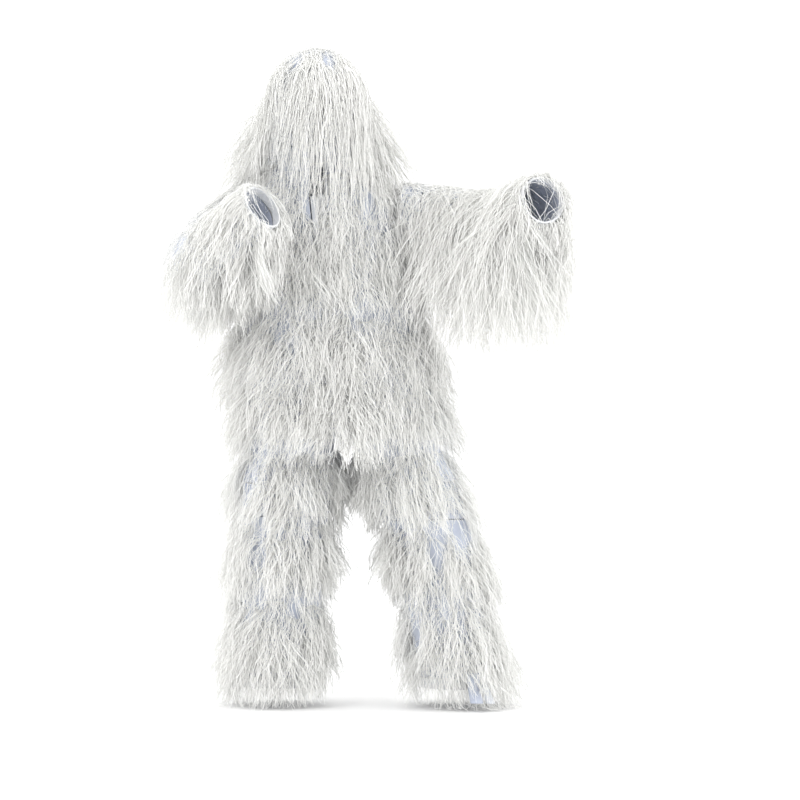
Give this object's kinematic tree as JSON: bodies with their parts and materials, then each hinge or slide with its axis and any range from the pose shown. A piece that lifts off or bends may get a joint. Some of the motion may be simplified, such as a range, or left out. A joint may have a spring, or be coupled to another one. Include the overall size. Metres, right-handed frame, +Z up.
{
  "type": "ghillie suit",
  "caption": "Hooded winter ghillie suit, jacket and trousers of pale net cloth sewn all over with tiers of long white thread, with a lifting face veil; worn stance, hollow.",
  "frame": {"origin": "middle of the neckline, where the suit hangs on its wearer", "axes": "+Z up, +X to the wearer's left, -Y to the wearer's front"},
  "size_m": [1.0624, 0.6309, 1.7703],
  "materials": {
    "white_thread": "matt loose polyester thread",
    "base_cloth": "matt woven polyester, pale lilac grey",
    "veil_netting": "open knitted netting",
    "elastic_band": "knitted elastic",
    "woven_tape": "flat woven tape",
    "zip_nylon": "moulded nylon coil",
    "zip_metal": "white lacquered die-cast zinc"
  },
  "bodies": {
    "jacket": {"jacket_front_r": "base_cloth", "jacket_front_l": "base_cloth", "jacket_back": "base_cloth", "jacket_hem_band": "elastic_band", "collar_band": "base_cloth", "hanger_loop": "woven_tape", "jacket_fringe_yoke": "white_thread", "jacket_fringe_chest": "white_thread", "jacket_fringe_waist": "white_thread", "jacket_fringe_hem": "white_thread", "zip_tape_r": "woven_tape", "zip_tape_l": "woven_tape", "zip_coil": "zip_nylon", "trouser_seat": "base_cloth", "waistband": "elastic_band"},
    "zip_slider_body": {"zip_slider": "zip_metal"},
    "zip_pull_body": {"zip_pull": "zip_metal"},
    "hood": {"hood_crown": "base_cloth", "hood_side_r": "base_cloth", "hood_side_l": "base_cloth", "hood_face_binding": "woven_tape", "hood_neck_fold": "base_cloth", "hood_fringe_crown": "white_thread", "hood_fringe_cape": "white_thread"},
    "veil": {"veil_net": "veil_netting", "veil_fringe": "white_thread"},
    "upper_sleeve_r": {"shoulder_fold_r": "base_cloth", "sleeve_upper_r": "base_cloth", "sleeve_fringe_shoulder_r": "white_thread", "sleeve_fringe_upper_r": "white_thread"},
    "fore_sleeve_r": {"elbow_fold_r": "base_cloth", "sleeve_fore_r": "base_cloth", "cuff_band_r": "elastic_band", "sleeve_fringe_elbow_r": "white_thread", "sleeve_fringe_cuff_r": "white_thread"},
    "thigh_r_body": {"groin_fold_r": "base_cloth", "thigh_r": "base_cloth", "leg_fringe_thigh_r": "white_thread"},
    "shin_r_body": {"knee_fold_r": "base_cloth", "shin_r": "base_cloth", "leg_hem_band_r": "elastic_band", "leg_fringe_knee_r": "white_thread", "leg_fringe_hem_r": "white_thread"},
    "upper_sleeve_l": {"shoulder_fold_l": "base_cloth", "sleeve_upper_l": "base_cloth", "sleeve_fringe_shoulder_l": "white_thread", "sleeve_fringe_upper_l": "white_thread"},
    "fore_sleeve_l": {"elbow_fold_l": "base_cloth", "sleeve_fore_l": "base_cloth", "cuff_band_l": "elastic_band", "sleeve_fringe_elbow_l": "white_thread", "sleeve_fringe_cuff_l": "white_thread"},
    "thigh_l_body": {"groin_fold_l": "base_cloth", "thigh_l": "base_cloth", "leg_fringe_thigh_l": "white_thread"},
    "shin_l_body": {"knee_fold_l": "base_cloth", "shin_l": "base_cloth", "leg_hem_band_l": "elastic_band", "leg_fringe_knee_l": "white_thread", "leg_fringe_hem_l": "white_thread"}
  },
  "joints": [
    {"name": "hood_tip", "type": "hinge", "parent": "jacket", "child": "hood", "pos_m": [0, 0.088, 0.05], "axis": [-1, 0, 0], "range_deg": [0, 60], "deforming": ["hood_neck_fold", "hood_fringe_cape", "hood_fringe_crown", "jacket_fringe_yoke"]},
    {"name": "veil_lift", "type": "hinge", "parent": "hood", "child": "veil", "pos_m": [-0.002, -0.132, 0.242], "axis": [-1, 0, 0], "range_deg": [0, 110], "deforming": ["veil_fringe"]},
    {"name": "zip_slide", "type": "slide", "parent": "jacket", "child": "zip_slider_body", "axis": [0.1061, -0.0838, -0.9908], "range_m": [0, 0.58]},
    {"name": "zip_pull_swing", "type": "hinge", "parent": "zip_slider_body", "child": "zip_pull_body", "pos_m": [0.00563, -0.15944, -0.1102], "axis": [-0.9944, -0.0089, -0.1057], "range_deg": [0, 150]},
    {"name": "shoulder_r", "type": "hinge", "parent": "jacket", "child": "upper_sleeve_r", "pos_m": [-0.184, 0, -0.1], "axis": [0, 1, 0], "range_deg": [-8, 60], "deforming": ["shoulder_fold_r", "sleeve_fringe_shoulder_r", "sleeve_fringe_upper_r", "jacket_fringe_chest"]},
    {"name": "elbow_r", "type": "hinge", "parent": "upper_sleeve_r", "child": "fore_sleeve_r", "pos_m": [-0.372, -0.13, -0.31], "axis": [-0.6685, -0.1932, 0.7181], "range_deg": [-80, 0], "deforming": ["elbow_fold_r", "sleeve_fringe_elbow_r", "sleeve_fringe_cuff_r"]},
    {"name": "hip_r", "type": "hinge", "parent": "jacket", "child": "thigh_r_body", "pos_m": [-0.047, 0, -0.6], "axis": [-1, 0, 0], "range_deg": [-12, 30], "deforming": ["groin_fold_r", "leg_fringe_thigh_r", "jacket_fringe_hem"]},
    {"name": "knee_r", "type": "hinge", "parent": "thigh_r_body", "child": "shin_r_body", "pos_m": [-0.092, -0.01, -1.02], "axis": [1, 0, 0], "range_deg": [0, 60], "deforming": ["knee_fold_r", "leg_fringe_knee_r", "leg_fringe_hem_r"]},
    {"name": "shoulder_l", "type": "hinge", "parent": "jacket", "child": "upper_sleeve_l", "pos_m": [0.213, 0, -0.125], "axis": [0, -1, 0], "range_deg": [-30, 40], "deforming": ["shoulder_fold_l", "sleeve_fringe_shoulder_l", "sleeve_fringe_upper_l", "jacket_fringe_waist"]},
    {"name": "elbow_l", "type": "hinge", "parent": "upper_sleeve_l", "child": "fore_sleeve_l", "pos_m": [0.478, -0.11, -0.16], "axis": [-0.2347, -0.2682, -0.9343], "range_deg": [-40, 60], "deforming": ["elbow_fold_l", "sleeve_fringe_elbow_l", "sleeve_fringe_cuff_l"]},
    {"name": "hip_l", "type": "hinge", "parent": "jacket", "child": "thigh_l_body", "pos_m": [0.158, 0, -0.6], "axis": [-1, 0, 0], "range_deg": [-12, 30], "deforming": ["groin_fold_l", "leg_fringe_thigh_l"]},
    {"name": "knee_l", "type": "hinge", "parent": "thigh_l_body", "child": "shin_l_body", "pos_m": [0.318, -0.02, -1.03], "axis": [1, 0, 0], "range_deg": [0, 60], "deforming": ["knee_fold_l", "leg_fringe_knee_l", "leg_fringe_hem_l"]}
  ]
}
